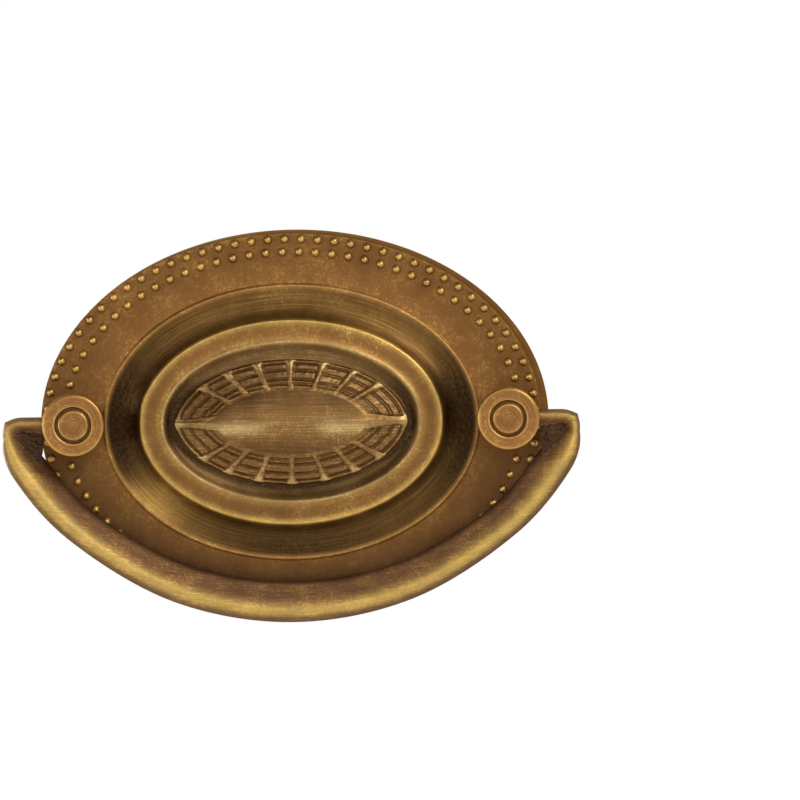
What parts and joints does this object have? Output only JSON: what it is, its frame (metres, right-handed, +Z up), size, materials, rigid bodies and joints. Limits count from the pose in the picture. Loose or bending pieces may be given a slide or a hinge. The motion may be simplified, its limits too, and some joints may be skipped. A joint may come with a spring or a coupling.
{
  "type": "drawer pull",
  "caption": "Oval brass backplate with beaded edge and ribbed almond boss; a bail handle swings on round-headed posts, with threaded studs and square nuts to fix it through a drawer front.",
  "frame": {"origin": "on the mounting plane (the back edge of the plate), midway between the two studs", "axes": "+X to the right along the line of the posts, +Y backward along the studs into the drawer front, +Z up; the front faces -Y"},
  "size_m": [0.0846, 0.0363, 0.0576],
  "materials": {
    "plate_brass": "antiqued satin",
    "bail_brass": "antiqued, brushed on the grip",
    "post_brass": "antiqued, turned",
    "fixing_brass": "bright"
  },
  "bodies": {
    "base": {"backplate": "plate_brass", "left_post": "post_brass", "right_post": "post_brass", "left_stud": "fixing_brass", "right_stud": "fixing_brass", "left_nut": "fixing_brass", "right_nut": "fixing_brass"},
    "bail": {"bail": "bail_brass"}
  },
  "joints": [
    {"name": "bail_swing", "type": "hinge", "parent": "base", "child": "bail", "pos_m": [0, -0.006, 0], "axis": [-1, 0, 0], "range_deg": [0, 180]}
  ]
}
